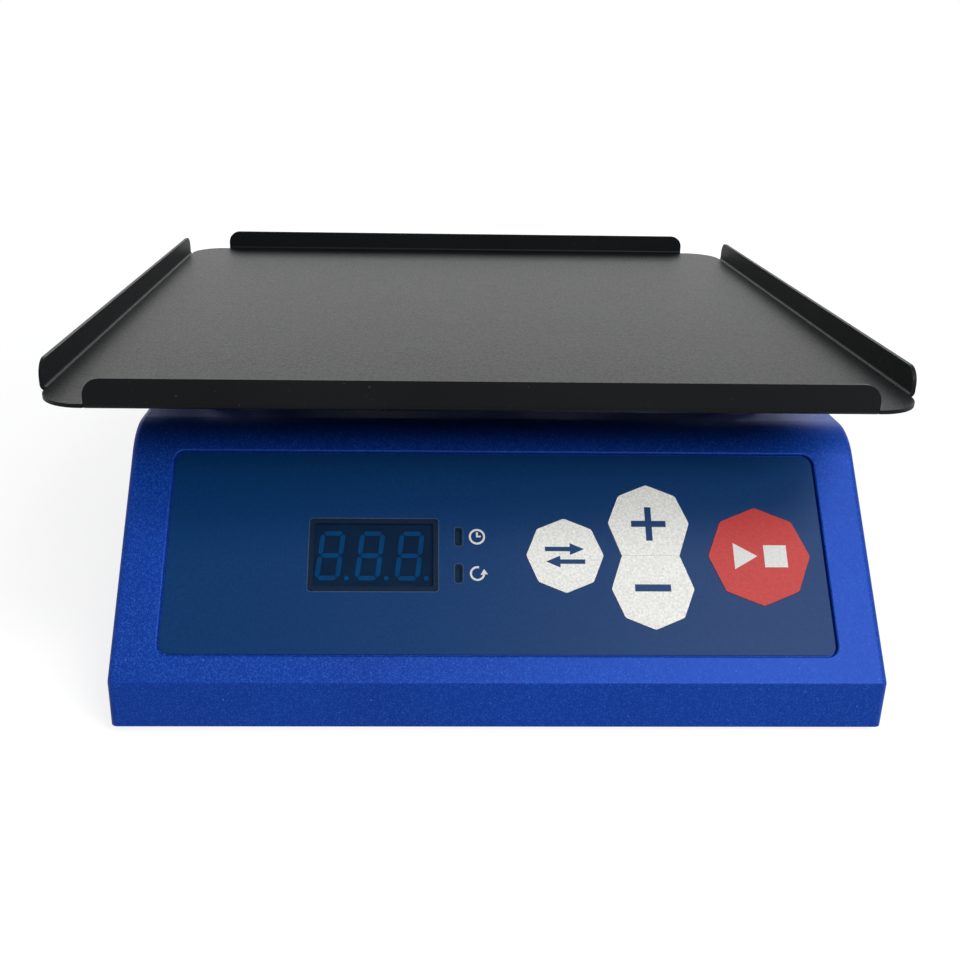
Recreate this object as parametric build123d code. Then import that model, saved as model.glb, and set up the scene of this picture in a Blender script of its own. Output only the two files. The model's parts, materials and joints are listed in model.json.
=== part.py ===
from build123d import *
import os
from math import atan2, cos, degrees, radians, sin, sqrt, tan

os.makedirs("parts", exist_ok=True)

# Orbital shaker, in mm: X right, Y to the back, Z up, origin on the floor below the housing centre

# Housing
HOUSING_W = 240.0
HOUSING_D = 256.0
HOUSING_TOP = 81.5
CREASE_Z = 18.6
SLOPE_DEG = 47.2
BEND_R = 20.0
CREASE_R = 1.2
EDGE_R = 2.2
BACK_EDGE_R = 4.4
WALL = 3.0
PLATE_T = 1.5
PLATE_GAP = 0.2
BOSS_R = 6.0
BOSS_H = 12.0
PLATE_SCREW_R = 1.5
VENT_L = 40.0
VENT_W = 4.0
VENT_PITCH = 10.0

# Feet, pushed into the bottom plate near its corners
FOOT_H = 3.0
FOOT_R = 8.0
FOOT_STEM_R = 3.0
FOOT_INSET_X = 28.0
FOOT_INSET_Y = 20.0

# Control panel on the slope, its features in one row, placed in steps from the right end
PANEL_MARGIN = 14.8
PANEL_H = 67.0
PANEL_RISE = 9.0
PANEL_CORNER_R = 3.1
PANEL_INSET = 0.9
PANEL_GAP = 0.5
RECESS_EDGE_R = 0.6
OVERLAY_T = 0.6
ROW = -1.3
START_INSET = 20.9
PAIR_STEP = 35.1
MODE_STEP = 27.6
LAMP_STEP = 34.1
WINDOW_STEP = 27.25
WINDOW_W = 41.7
WINDOW_H = 24.6
WINDOW_LEDGE = 1.5
LAMP_W = 2.7
LAMP_H = 6.3
LAMP_PITCH = 12.3
MODE_R = 12.45
PAIR_R = 13.2
PAIR_PITCH = 22.1
PAIR_WAIST = 18.6
START_R = 16.5
KEY_CORNER_R = 1.5
KEY_GAP = 0.1
PAIR_SPLIT = 0.06
KEY_RISE = 0.15
KEY_TRAVEL = 0.4
STEM_R = 1.7
STEM_GAP = 0.1

# Display and its board behind the panel
DIGIT_PITCH = 12.7
DIGIT_W = 8.0
DIGIT_H = 16.4
DIGIT_SLANT = 6.0
SEGMENT_T = 1.5
SEGMENT_GAP = 0.25
DOT_R = 0.75
FACE_DEPTH = 2.2
BOARD_DEPTH = 10.3
BOARD_T = 1.6
BOARD_H = 46.0
BOARD_EDGE = 4.5
BOARD_BOSS_R = 3.4
BOARD_SCREW_R = 1.25
SWITCH_CASE = 6.0
SWITCH_CASE_T = 3.5

# Tray
TRAY_W = 260.0
TRAY_T = 1.2
LIP_H = 8.05
LIP_BEND_R = 0.9
LIP_CORNER_R = 5.2
LIP_END = 17.4
LIP_RELIEF = 0.8
TAB_INSET = 1.8
TAB_CORNER_R = 14.0
STUD_R = 2.0
STUD_L = 10.0
NUT_R = 4.04
NUT_H = 3.2

# Drive: every eccentric carries its pin this far off its shaft
ORBIT_R = 10.0
REST_DEG = 135.0
IDLER_INSET_X = 36.0
IDLER_INSET_BACK = 44.0
IDLER_INSET_FRONT = 33.25
MOTOR_INSET = 37.0
FIT = 0.03

# Bearings: two plain rings each
SMALL_BORE_R = 4.0
SMALL_OUTER_R = 11.0
SMALL_WIDTH = 7.0
MAIN_BORE_R = 6.0
MAIN_OUTER_R = 14.0
MAIN_WIDTH = 8.0
RING_T = 2.0
RING_GAP = 0.05
BOSS_STEP = 0.5
CLIP_T = 1.2
CLIP_RISE = 0.8

# From the tower tops up to the tray
TOWER_RISE = 1.0
DISC_GAP = 1.5
DISC_T = 6.6
HUB_GAP = 0.8
HUB_H = 12.2
HUB_WALL = 3.5
HUB_COLLAR = 2.5
CARRIER_T = 5.0
ARM_W = 18.0
ARM_FILLET = 3.5
IDLER_DISC_R = 18.0
DRIVE_DISC_R = 22.0
SHOULDER = 1.5
SEAT_STEP = 0.5

# Chassis casting, standing on its legs over the counterweight and the pulleys
CHASSIS_T = 5.0
TOWER_WALL = 2.5
TOWER_FOOT = 6.0
TOWER_GAP = 0.5
LEG_R = 6.0
LEG_INSET_X = 16.0
LEG_INSET_FRONT = 3.75
LEG_INSET_BACK = 22.0
LEG_SCREW_R = 2.0
LEG_SCREW_L = 12.0
CHASSIS_WINDOW_W = 34.0
CHASSIS_WINDOW_L = 60.0

# Counterweight, pulleys, belt and motor, from the bottom plate up
WEIGHT_R = 54.0
WEIGHT_T = 14.0
WEIGHT_RISE = 10.0
WEIGHT_HUB = 6.0
PULLEY_T = 10.0
PULLEY_HUB_H = 2.0
PULLEY_HUB_R = 11.0
PULLEY_GAP = 10.75
MOTOR_PULLEY_R = 10.5
RIM_T = 1.5
RIM_H = 2.0
RIM_W = 4.0
WEB_DIP = 3.0
STACK_GAP = 0.5
CHASSIS_GAP = 3.0
BELT_W = 6.0
BELT_T = 1.4
BELT_GAP = 0.1
MOTOR_R = 23.0
MOTOR_TOP_GAP = 2.5
MOTOR_SHAFT_R = 2.5
MOTOR_SKIN = 1.5
MOTOR_PLATE_T = 2.0
MOTOR_BOSS_R = 5.5
MOTOR_SCREW_R = 1.5
MOTOR_SCREW_REACH = 15.0
ROTOR_R = 15.0
ROTOR_GAP = 0.3

# Control board on the bottom plate
CONTROL_W = 100.0
CONTROL_D = 58.0
CONTROL_INSET = 42.0
CONTROL_EDGE = 5.0
STANDOFF_H = 5.0
STANDOFF_R = 3.0
CONTROL_SCREW_R = 1.5
CHIP_W = 14.0
SOCKET_H = 8.0
CAPACITOR_H = 11.0

# Rear fittings
REAR_INSET = 48.0
REAR_Z = 42.0
INLET_R = 6.0
INLET_BORE_R = 2.9
INLET_FLANGE_R = 8.0
INLET_FLOOR = 4.0
INLET_PIN_R = 1.0
SWITCH_W = 19.0
SWITCH_H = 13.0
SWITCH_D = 15.0
BEZEL = 1.5
BEZEL_T = 1.6
SWITCH_DEG = 9.0
ROCKER_PIVOT = 2.0

# Values worked out from the sizes above
SLOPE = radians(SLOPE_DEG)
FRONT_Y = -HOUSING_D / 2
BACK_Y = HOUSING_D / 2
FLAT_FRONT_Y = FRONT_Y + (HOUSING_TOP - CREASE_Z) / tan(SLOPE)
SHIFT = Vector(ORBIT_R * cos(radians(REST_DEG)), ORBIT_R * sin(radians(REST_DEG)))
PLATE_TOP = FOOT_H + PLATE_T
TOWER_TOP = HOUSING_TOP + TOWER_RISE
DISC_BOTTOM = TOWER_TOP + DISC_GAP
DISC_TOP = DISC_BOTTOM + DISC_T
HUB_BOTTOM = DISC_TOP + HUB_GAP
TRAY_BOTTOM = HUB_BOTTOM + HUB_H
WEIGHT_Z = PLATE_TOP + WEIGHT_RISE
PULLEY_Z = WEIGHT_Z + WEIGHT_T + STACK_GAP + PULLEY_HUB_H
CHASSIS_Z = PULLEY_Z + PULLEY_T + CHASSIS_GAP
CHASSIS_TOP = CHASSIS_Z + CHASSIS_T
MOTOR_TOP = HOUSING_TOP - WALL - MOTOR_TOP_GAP

PANEL_W = HOUSING_W - 2 * PANEL_MARGIN
PANEL_S = PANEL_RISE + PANEL_H / 2
START_X = PANEL_W / 2 - START_INSET
PAIR_X = START_X - PAIR_STEP
MODE_X = PAIR_X - MODE_STEP
LAMP_X = MODE_X - LAMP_STEP
WINDOW_X = LAMP_X - WINDOW_STEP
OVERLAY_BOTTOM = PANEL_INSET + OVERLAY_T
KEY_TOP = PANEL_INSET - KEY_RISE
KEY_BOTTOM = KEY_TOP + OVERLAY_T
POCKET_DEPTH = KEY_BOTTOM + KEY_TRAVEL + 0.3
SWITCH_TOP = BOARD_DEPTH - SWITCH_CASE_T
STEM_END = BOARD_DEPTH - KEY_TRAVEL - 0.7

IDLER_X = HOUSING_W / 2 - IDLER_INSET_X
IDLER_FRONT_Y = FLAT_FRONT_Y + IDLER_INSET_FRONT
IDLER_BACK_Y = BACK_Y - IDLER_INSET_BACK
DRIVE_AXIS = Vector(0, (IDLER_FRONT_Y + IDLER_BACK_Y) / 2)
MOTOR_AXIS = Vector(0, BACK_Y - MOTOR_INSET)
PULLEY_R = (MOTOR_AXIS - DRIVE_AXIS).length - MOTOR_PULLEY_R - 2 * RIM_H - PULLEY_GAP
LEG_X = HOUSING_W / 2 - LEG_INSET_X
LEG_FRONT_Y = FLAT_FRONT_Y + LEG_INSET_FRONT
LEG_BACK_Y = BACK_Y - LEG_INSET_BACK
REAR_X = HOUSING_W / 2 - REAR_INSET
CONTROL_PLACE = Vector(0, FRONT_Y + CONTROL_INSET)
SMALL_BEARING = (SMALL_BORE_R, SMALL_OUTER_R, SMALL_WIDTH)
MAIN_BEARING = (MAIN_BORE_R, MAIN_OUTER_R, MAIN_WIDTH)


def four(x, y):
    """Four places at the corners of a rectangle about the origin."""
    return [Vector(i * x, j * y) for j in (-1, 1) for i in (-1, 1)]


IDLER_AXES = [Vector(i * IDLER_X, y) for y in (IDLER_FRONT_Y, IDLER_BACK_Y) for i in (-1, 1)]
LEG_PLACES = [Vector(i * LEG_X, y) for y in (LEG_FRONT_Y, LEG_BACK_Y) for i in (-1, 1)]
FOOT_PLACES = four(HOUSING_W / 2 - FOOT_INSET_X, HOUSING_D / 2 - FOOT_INSET_Y)
PLATE_SCREW_PLACES = four(
    HOUSING_W / 2 - WALL - BOSS_R - 0.5,
    HOUSING_D / 2 - WALL - BOSS_R - 0.5,
)
CONTROL_SCREW_PLACES = [
    CONTROL_PLACE + p for p in four(CONTROL_W / 2 - CONTROL_EDGE - 1, CONTROL_D / 2 - CONTROL_EDGE)
]
MOTOR_SCREW_PLACES = [
    MOTOR_AXIS + p for p in four(MOTOR_SCREW_REACH / sqrt(2), MOTOR_SCREW_REACH / sqrt(2))
]
PANEL = Plane(
    origin=(0, FRONT_Y + PANEL_S * cos(SLOPE), CREASE_Z + PANEL_S * sin(SLOPE)),
    x_dir=(1, 0, 0),
    z_dir=(0, -sin(SLOPE), cos(SLOPE)),
)
KEY_PLACES = {
    "mode": (MODE_X, ROW),
    "plus": (PAIR_X, ROW + PAIR_PITCH / 2),
    "minus": (PAIR_X, ROW - PAIR_PITCH / 2),
    "start": (START_X, ROW),
}
LAMP_PLACES = [(LAMP_X, ROW + j * LAMP_PITCH / 2) for j in (1, -1)]
BOARD_LEFT = WINDOW_X - WINDOW_W / 2 - 7.6
BOARD_RIGHT = START_X + START_R + 1.0
BOARD_SCREW_PLACES = [
    (x, ROW + j * (BOARD_H / 2 - BOARD_EDGE))
    for x in (BOARD_LEFT + BOARD_EDGE, BOARD_RIGHT - BOARD_EDGE)
    for j in (-1, 1)
]
LOW = (Align.CENTER, Align.CENTER, Align.MIN)


def save(name, *pieces):
    """Write one node from its solids."""
    solids = [solid for piece in pieces for solid in piece.solids()]
    export_step(Compound(children=solids), f"parts/{name}.step")


def disc(radius, low, high, at=Vector(0, 0)):
    """A round bar from height low to high."""
    return Pos(at.X, at.Y, low) * Cylinder(radius, high - low, align=LOW)


def ring(inner, outer, low, high, at=Vector(0, 0)):
    """A plain ring from height low to high."""
    return disc(outer, low, high, at) - disc(inner, low, high, at)


def block(size_x, size_y, low, high, at=Vector(0, 0)):
    """A box standing on height low."""
    return Pos(at.X, at.Y, low) * Box(size_x, size_y, high - low, align=LOW)


def on_panel(sketch, start, end):
    """A sketch in panel coordinates, carried inward from one depth below the slope to another."""
    return extrude(PANEL.offset(-start) * sketch, end - start, dir=-PANEL.z_dir)


def screw(shank_r, length, head_r, head_h, socket_r=0.0):
    """A cap screw that points up from the origin, with its head below it."""
    body = disc(shank_r, 0, length) + disc(head_r, -head_h, 0)
    if socket_r:
        body -= extrude(Pos(0, 0, -head_h) * RegularPolygon(socket_r, 6), head_h * 0.6)
    return body


def rounded(face, corner, radius):
    """The face with the corner nearest to a point rounded."""
    nearest = face.vertices().sort_by_distance(Vector(*corner))[0]
    return fillet(nearest, radius)


def housing_profile():
    """The side view of the housing, seen along X, with its bend, crease and back edge rounded."""
    crease = (FRONT_Y, CREASE_Z)
    bend = (FLAT_FRONT_Y, HOUSING_TOP)
    back = (BACK_Y, HOUSING_TOP)
    face = make_face(Polyline((FRONT_Y, FOOT_H), crease, bend, back, (BACK_Y, FOOT_H), close=True))
    for corner, radius in ((bend, BEND_R), (crease, CREASE_R), (back, BACK_EDGE_R)):
        face = rounded(face, corner, radius)
    return face


def housing_cover():
    """The moulded cover: sloped front, walls of one thickness, recess and seats for the panel."""
    side = Plane(origin=(-HOUSING_W / 2, 0, 0), x_dir=(0, 1, 0), z_dir=(1, 0, 0))
    solid = extrude(side * housing_profile(), HOUSING_W)
    ends = [e for e in solid.edges() if abs(abs(e.center().X) - HOUSING_W / 2) < 1e-6
            and e.center().Z > FOOT_H + 1e-6]
    inner = offset(housing_profile(), -WALL)
    inner_side = Plane(origin=(-HOUSING_W / 2 + WALL, 0, 0), x_dir=(0, 1, 0), z_dir=(1, 0, 0))
    hollow = extrude(inner_side * inner, HOUSING_W - 2 * WALL)
    mouth = block(HOUSING_W - 2 * WALL, HOUSING_D - 2 * WALL, 0, FOOT_H + WALL + 1)
    solid = fillet(ends, EDGE_R) - hollow - mouth

    # Corner bosses for the bottom plate, each joined to the wall beside it
    for place in PLATE_SCREW_PLACES:
        toward_wall = Vector(0, (BOSS_R + WALL) / 2 * (1 if place.Y > 0 else -1))
        post = disc(BOSS_R, PLATE_TOP, PLATE_TOP + BOSS_H, place)
        post += block(BOSS_R * 2, BOSS_R + WALL, PLATE_TOP, PLATE_TOP + BOSS_H, place + toward_wall)
        solid += post - disc(PLATE_SCREW_R, PLATE_TOP, PLATE_TOP + BOSS_H - 2, place)

    # Recess for the overlay, pockets under the keys, openings for display, lamps and key stems
    solid -= on_panel(
        RectangleRounded(PANEL_W + 2 * PANEL_GAP, PANEL_H + 2 * PANEL_GAP, PANEL_CORNER_R + PANEL_GAP),
        -1,
        OVERLAY_BOTTOM,
    )
    solid = fillet([e for e in solid.edges() if on_recess_rim(e)], RECESS_EDGE_R)
    for x, y in BOARD_SCREW_PLACES:
        solid += on_panel(Pos(x, y) * Circle(BOARD_BOSS_R), WALL - 0.5, BOARD_DEPTH)
        solid -= on_panel(Pos(x, y) * Circle(BOARD_SCREW_R), BOARD_DEPTH - 5.5, BOARD_DEPTH)
    for outline in key_outlines().values():
        solid -= on_panel(offset(outline, KEY_GAP + 0.1), OVERLAY_BOTTOM - 0.1, POCKET_DEPTH)
    for x, y in KEY_PLACES.values():
        solid -= on_panel(Pos(x, y) * Circle(STEM_R + 0.6), 0, WALL + 1)
    opening = Rectangle(WINDOW_W - 2 * WINDOW_LEDGE, WINDOW_H - 2 * WINDOW_LEDGE)
    solid -= on_panel(Pos(WINDOW_X, ROW) * opening, 0, WALL + 1)
    for x, y in LAMP_PLACES:
        solid -= on_panel(Pos(x, y) * Rectangle(LAMP_W - 0.5, LAMP_H - 1.2), 0, WALL + 1)

    # Round openings for the bearing towers in the top, and the rear openings
    for axis in IDLER_AXES:
        solid -= disc(tower_r(SMALL_BEARING) + TOWER_GAP, HOUSING_TOP - WALL - 1, HOUSING_TOP + 1, axis)
    solid -= disc(
        tower_r(MAIN_BEARING) + TOWER_GAP, HOUSING_TOP - WALL - 1, HOUSING_TOP + 1, DRIVE_AXIS
    )
    solid -= to_back(-REAR_X) * Cylinder(INLET_R + FIT, 4 * WALL)
    solid -= to_back(REAR_X) * Box(SWITCH_W + 2 * FIT, SWITCH_H + 2 * FIT, 4 * WALL)
    return solid


def on_recess_rim(edge):
    """Whether an edge lies where the recess for the overlay meets the slope."""
    middle = PANEL.to_local_coords(edge @ 0.5)
    inside = abs(middle.X) < PANEL_W / 2 + 2 * PANEL_GAP and abs(middle.Y) < PANEL_H / 2 + 2 * PANEL_GAP
    return inside and abs(middle.Z) < 1e-4


def to_back(x):
    """A place on the back wall, with Z pointing out of it."""
    return Pos(x, BACK_Y, REAR_Z) * Rot(-90, 0, 0)


def tower_r(bearing):
    """Outer radius of a tower around its bearing."""
    return bearing[1] + TOWER_WALL


def pair_half():
    """Outline of the upper key of the pair, about the pair's middle."""
    lobe = PAIR_PITCH / 2
    slant = PAIR_R * cos(radians(45))
    waist = PAIR_WAIST / 2
    points = [(waist, PAIR_SPLIT / 2), (PAIR_R, lobe), (slant, lobe + slant), (0, lobe + PAIR_R)]
    mirrored = [(-x, y) for x, y in reversed(points[:-1])]
    face = make_face(Polyline(*points, *mirrored, close=True))
    return fillet(face.vertices().group_by(Axis.Y)[1:], KEY_CORNER_R)


def octagon(radius):
    """An eight-sided key outline with softened corners."""
    shape = RegularPolygon(radius, 8)
    return fillet(shape.vertices(), KEY_CORNER_R)


def key_outlines():
    """Outlines of the four keys in panel coordinates."""
    upper = pair_half()
    return {
        "mode": Pos(MODE_X, ROW) * octagon(MODE_R),
        "plus": Pos(PAIR_X, ROW) * upper,
        "minus": Pos(PAIR_X, ROW) * mirror(upper, Plane.XZ),
        "start": Pos(START_X, ROW) * octagon(START_R),
    }


def overlay():
    """The printed sheet in the recess, cut out for keys, lamps and window."""
    sheet = RectangleRounded(PANEL_W, PANEL_H, PANEL_CORNER_R)
    for outline in key_outlines().values():
        sheet -= offset(outline, KEY_GAP)
    sheet -= Pos(WINDOW_X, ROW) * RectangleRounded(WINDOW_W + 2 * FIT, WINDOW_H + 2 * FIT, 1.0)
    for x, y in LAMP_PLACES:
        sheet -= Pos(x, y) * RectangleRounded(LAMP_W + 2 * FIT, LAMP_H + 2 * FIT, 0.8)
    return on_panel(sheet, PANEL_INSET, OVERLAY_BOTTOM)


def digit_segments():
    """Seven bars and a dot for each of three digits, leaning to the right."""
    half_w = (DIGIT_W - SEGMENT_T) / 2
    half_h = (DIGIT_H - SEGMENT_T) / 2
    tip = SEGMENT_T / 2
    level_len = 2 * half_w - 2 * SEGMENT_GAP
    upright_len = half_h - 2 * SEGMENT_GAP

    def bar(length):
        end = length / 2
        upper = [(-end, 0), (tip - end, tip), (end - tip, tip)]
        return upper + [(-a, -b) for a, b in upper]

    places = [(0, k * half_h, False) for k in (-1, 0, 1)]
    places += [(i * half_w, j * half_h / 2, True) for i in (-1, 1) for j in (-1, 1)]
    lean = tan(radians(DIGIT_SLANT))
    solids = []
    for digit in (-1, 0, 1):
        middle = WINDOW_X - 1.2 + digit * DIGIT_PITCH
        for x, y, upright in places:
            points = bar(upright_len if upright else level_len)
            if upright:
                points = [(b, a) for a, b in points]
            leaned = [(middle + x + a + lean * (y + b), ROW + y + b) for a, b in points]
            solids.append(on_panel(make_face(Polyline(*leaned, close=True)), FACE_DEPTH - 0.1, FACE_DEPTH))
        dot = Pos(middle + half_w + 2.1, ROW - half_h) * Circle(DOT_R)
        solids.append(on_panel(dot, FACE_DEPTH - 0.1, FACE_DEPTH))
    return solids


def tray():
    """The folded tray: flat plate with round corner tabs and four lips bent up."""
    outer_r = LIP_BEND_R + TRAY_T
    length = TRAY_W - 2 * LIP_END
    plate = RectangleRounded(TRAY_W - 2 * TAB_INSET, TRAY_W - 2 * TAB_INSET, TAB_CORNER_R)
    section = Polyline(
        (outer_r + 0.4, 0),
        (outer_r + 0.4, TRAY_T),
        (TRAY_T, TRAY_T),
        (TRAY_T, TRAY_T + LIP_H),
        (0, TRAY_T + LIP_H),
        (0, 0),
        close=True,
    )
    face = rounded(make_face(section), (TRAY_T, TRAY_T), LIP_BEND_R)
    face = rounded(face, (0, 0), outer_r)
    fold = Plane(origin=(-length / 2, -TRAY_W / 2, 0), x_dir=(0, 1, 0), z_dir=(1, 0, 0))
    lip = extrude(fold * face, length)
    lip = fillet(lip.edges().filter_by(Axis.Y).group_by(Axis.Z)[-1], LIP_CORNER_R)
    slot = Pos(0, -TRAY_W / 2) * Rectangle(length + 2 * LIP_RELIEF, 2 * outer_r)
    turns = [Rot(0, 0, angle) for angle in (0, 90, 180, 270)]
    for turn in turns:
        plate -= turn * slot
    body = extrude(plate, TRAY_T)
    for turn in turns:
        body += turn * lip
    return Pos(SHIFT.X, SHIFT.Y, TRAY_BOTTOM) * body


def stud_places():
    """Where the weld studs hang below the tray, on the arms of the carrier."""
    reach = (IDLER_BACK_Y - IDLER_FRONT_Y) / 2 - SMALL_OUTER_R - 2 * HUB_WALL - NUT_R * 4
    return [Vector(DRIVE_AXIS.X, DRIVE_AXIS.Y) + p + SHIFT for p in four(IDLER_X, reach)]


def carrier():
    """The spider under the tray: five bearing hubs joined by arms."""
    low = TRAY_BOTTOM - CARRIER_T
    corners = [axis + SHIFT for axis in IDLER_AXES]
    centre = DRIVE_AXIS + SHIFT
    collar = HUB_WALL + HUB_COLLAR
    areas = [Pos(p.X, p.Y) * Circle(SMALL_BEARING[1] + collar) for p in corners]
    areas.append(Pos(centre.X, centre.Y) * Circle(MAIN_BEARING[1] + collar))
    for start, end in arm_pairs(corners, centre):
        middle = (start + end) * 0.5
        span = end - start
        angle = degrees(atan2(span.Y, span.X))
        arm = SlotCenterToCenter(span.length, ARM_W)
        areas.append(Pos(middle.X, middle.Y) * Rot(0, 0, angle) * arm)
    web = Sketch() + areas
    web = offset(offset(web, ARM_FILLET), -ARM_FILLET)
    body = extrude(Pos(0, 0, low) * web, CARRIER_T)
    for place, bearing in [(c, SMALL_BEARING) for c in corners] + [(centre, MAIN_BEARING)]:
        body += disc(bearing[1] + HUB_WALL, HUB_BOTTOM, low + 1, place)
        body -= disc(bearing[1], HUB_BOTTOM, seat_top(bearing), place)
        body -= disc(bearing[1] - SHOULDER, HUB_BOTTOM, seat_top(bearing) + 1.5, place)
    for place in stud_places():
        body -= disc(STUD_R + 0.3, low, TRAY_BOTTOM, place)
    return body


def arm_pairs(corners, centre):
    """The lines that the carrier's arms follow."""
    pairs = [(corner, centre) for corner in corners]
    return pairs + [(corners[0], corners[2]), (corners[1], corners[3])]


def seat_top(bearing):
    """Top of a carrier bearing, which stands on the boss of its eccentric."""
    return HUB_BOTTOM + SEAT_STEP + bearing[2]


def bearing_pair(bearing):
    """Lower ends of the two bearings in a tower."""
    return [CHASSIS_TOP + SEAT_STEP, TOWER_TOP - SEAT_STEP - bearing[2]]


def outer_rings(bearing, lows, at):
    """Outer rings with their seals, of bearings on one axis."""
    bore = bearing[0] + RING_T + RING_GAP
    return [ring(bore, bearing[1], low, low + bearing[2], at) for low in lows]


def inner_rings(bearing, lows, at):
    """Inner rings of bearings on one axis."""
    return [ring(bearing[0], bearing[0] + RING_T, low, low + bearing[2], at) for low in lows]


def clip(bearing, at):
    """The retaining ring below the lower bearing."""
    top = bearing_pair(bearing)[0]
    return ring(bearing[0], bearing[0] + RING_T + CLIP_RISE, top - CLIP_T, top, at)


def eccentric(bearing, axis, disc_r, shaft_low):
    """Shaft, disc and offset pin in one piece, with bosses that meet the inner rings."""
    pin = axis + SHIFT
    boss_r = bearing[0] + RING_T - BOSS_STEP
    body = disc(bearing[0], shaft_low, DISC_BOTTOM + 1, axis)
    body += disc(boss_r, TOWER_TOP - SEAT_STEP, DISC_BOTTOM, axis)
    plate = disc(disc_r, DISC_BOTTOM, DISC_TOP, axis + SHIFT * 0.25)
    body += chamfer(plate.edges().group_by(Axis.Z)[-1], 0.8)
    body += disc(boss_r, DISC_TOP, HUB_BOTTOM + SEAT_STEP, pin)
    body += disc(bearing[0], DISC_TOP, seat_top(bearing), pin)
    return body


def chassis():
    """The casting: a plate with five bearing towers on top and four legs down to the bottom plate."""
    middle = (LEG_FRONT_Y + LEG_BACK_Y) / 2
    plate = RectangleRounded(2 * (LEG_X + LEG_R), LEG_BACK_Y - LEG_FRONT_Y + 2 * LEG_R, LEG_R)
    body = extrude(Pos(0, middle, CHASSIS_Z) * plate, CHASSIS_T)
    window = RectangleRounded(CHASSIS_WINDOW_W, CHASSIS_WINDOW_L, LEG_R)
    for side in (-1, 1):
        body -= extrude(Pos(side * REAR_X, DRIVE_AXIS.Y, CHASSIS_Z) * window, CHASSIS_T)
    for place in LEG_PLACES:
        body += disc(LEG_R, PLATE_TOP, CHASSIS_Z, place)
        body -= disc(LEG_SCREW_R, PLATE_TOP, PLATE_TOP + LEG_SCREW_L + 2, place)
    towers = [(axis, SMALL_BEARING) for axis in IDLER_AXES] + [(DRIVE_AXIS, MAIN_BEARING)]
    for axis, bearing in towers:
        foot = disc(tower_r(bearing) + TOWER_FOOT, CHASSIS_TOP, CHASSIS_TOP + TOWER_FOOT, axis)
        body += chamfer(foot.edges().group_by(Axis.Z)[-1], TOWER_FOOT - 0.5)
        body += disc(tower_r(bearing), CHASSIS_Z, TOWER_TOP, axis)
    for axis, bearing in towers:
        low, high = bearing_pair(bearing)
        body -= disc(bearing[1] - SHOULDER, CHASSIS_Z, TOWER_TOP, axis)
        body -= disc(bearing[1], CHASSIS_Z, low + bearing[2], axis)
        body -= disc(bearing[1], high, TOWER_TOP, axis)
    body -= disc(MOTOR_BOSS_R + TOWER_GAP, CHASSIS_Z, CHASSIS_TOP, MOTOR_AXIS)
    for place in MOTOR_SCREW_PLACES:
        body -= disc(MOTOR_SCREW_R + 0.2, CHASSIS_Z, CHASSIS_TOP, place)
    return body


def pulley(radius, bore, axis, hub_r, hub_h):
    """A flat-belt pulley with two rims and a hub below."""
    low = PULLEY_Z
    section = Polyline(
        (bore, low - hub_h),
        (hub_r, low - hub_h),
        (hub_r, low),
        (radius + RIM_H, low),
        (radius + RIM_H, low + RIM_T),
        (radius, low + RIM_T),
        (radius, low + PULLEY_T - RIM_T),
        (radius + RIM_H, low + PULLEY_T - RIM_T),
        (radius + RIM_H, low + PULLEY_T),
        (bore, low + PULLEY_T),
        close=True,
    )
    turned = revolve(Plane.XZ * make_face(section), Axis.Z)
    if radius - RIM_W > hub_r:
        turned -= ring(hub_r, radius - RIM_W, low + PULLEY_T - WEB_DIP, low + PULLEY_T)
        turned -= ring(hub_r, radius - RIM_W, low, low + WEB_DIP)
    return Pos(axis.X, axis.Y, 0) * turned


def belt_outline(grow):
    """Area inside a belt around both pulleys, grown outward from their faces."""
    big = PULLEY_R + grow
    small = MOTOR_PULLEY_R + grow
    span = (MOTOR_AXIS - DRIVE_AXIS).length
    rise = (big - small) / span
    run = sqrt(1 - rise * rise)
    flank = [
        (big * run, DRIVE_AXIS.Y + big * rise),
        (small * run, MOTOR_AXIS.Y + small * rise),
        (-small * run, MOTOR_AXIS.Y + small * rise),
        (-big * run, DRIVE_AXIS.Y + big * rise),
    ]
    area = make_face(Polyline(*flank, close=True))
    return area + Pos(0, DRIVE_AXIS.Y) * Circle(big) + Pos(0, MOTOR_AXIS.Y) * Circle(small)


def counterweight():
    """A half disc opposite the pin, clamped to the drive shaft by its hub."""
    hub = MAIN_BORE_R + WEIGHT_HUB
    half = Circle(WEIGHT_R) - Pos(WEIGHT_R, 0) * Rectangle(2 * WEIGHT_R, 2 * WEIGHT_R)
    shape = half + Circle(hub) - Circle(MAIN_BEARING[0])
    body = extrude(Rot(0, 0, REST_DEG) * shape, WEIGHT_T)
    return Pos(DRIVE_AXIS.X, DRIVE_AXIS.Y, WEIGHT_Z) * body


# Housing, bottom plate and feet
save("housing_cover", housing_cover())
plate_body = extrude(
    Pos(0, 0, FOOT_H)
    * RectangleRounded(
        HOUSING_W - 2 * (WALL + PLATE_GAP), HOUSING_D - 2 * (WALL + PLATE_GAP), PLATE_T
    ),
    PLATE_T,
)
plate_holes = [(PLATE_SCREW_PLACES, PLATE_SCREW_R + 0.3), (LEG_PLACES, LEG_SCREW_R + 0.2)]
plate_holes += [(FOOT_PLACES, FOOT_STEM_R), (CONTROL_SCREW_PLACES, CONTROL_SCREW_R + 0.2)]
for places, radius in plate_holes:
    for place in places:
        plate_body -= disc(radius, FOOT_H, PLATE_TOP, place)
for side in (-1, 1):
    for step in range(6):
        vent_y = DRIVE_AXIS.Y + (step - 2.5) * VENT_PITCH
        vent = Pos(side * (REAR_X - VENT_PITCH), vent_y, FOOT_H) * SlotOverall(VENT_L, VENT_W)
        plate_body -= extrude(vent, PLATE_T)
save("bottom_plate", plate_body)
plate_screw = screw(PLATE_SCREW_R, PLATE_T + BOSS_H - 4, 2.75, 1.8, 1.2)
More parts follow.
